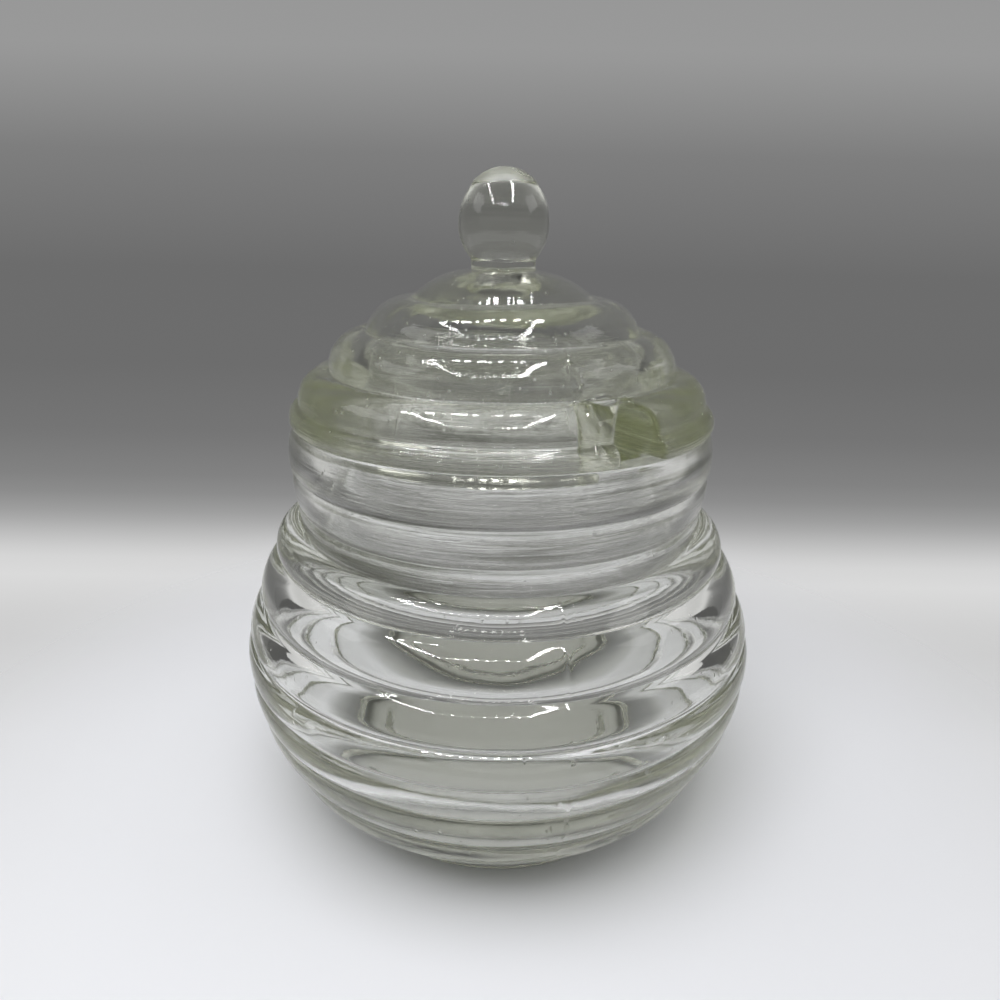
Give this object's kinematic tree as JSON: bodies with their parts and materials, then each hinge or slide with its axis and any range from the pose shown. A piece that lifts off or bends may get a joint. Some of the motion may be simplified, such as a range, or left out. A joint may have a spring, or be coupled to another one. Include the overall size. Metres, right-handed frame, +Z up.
{
  "type": "honey pot",
  "caption": "Round ringed clear-glass pot shaped like a beehive, with a lift-off domed lid that has a ball knob and an arched notch for a spoon.",
  "frame": {"origin": "centre of the jar's foot ring, on the table", "axes": "+Z up along the pot's axis, -Y towards the spoon notch in the lid, +X to the right seen from the notch"},
  "size_m": [0.1152, 0.1152, 0.1403],
  "materials": {
    "jar_glass": "clear pressed glass, fire-polished",
    "lid_glass": "clear pressed glass with a faint yellow-green tint"
  },
  "bodies": {
    "jar": {"jar": "jar_glass"},
    "lid": {"lid": "lid_glass"}
  },
  "joints": [
    {"name": "lid_lift", "type": "slide", "parent": "jar", "child": "lid", "axis": [0, 0, 1], "range_m": [0, 0.08]}
  ]
}
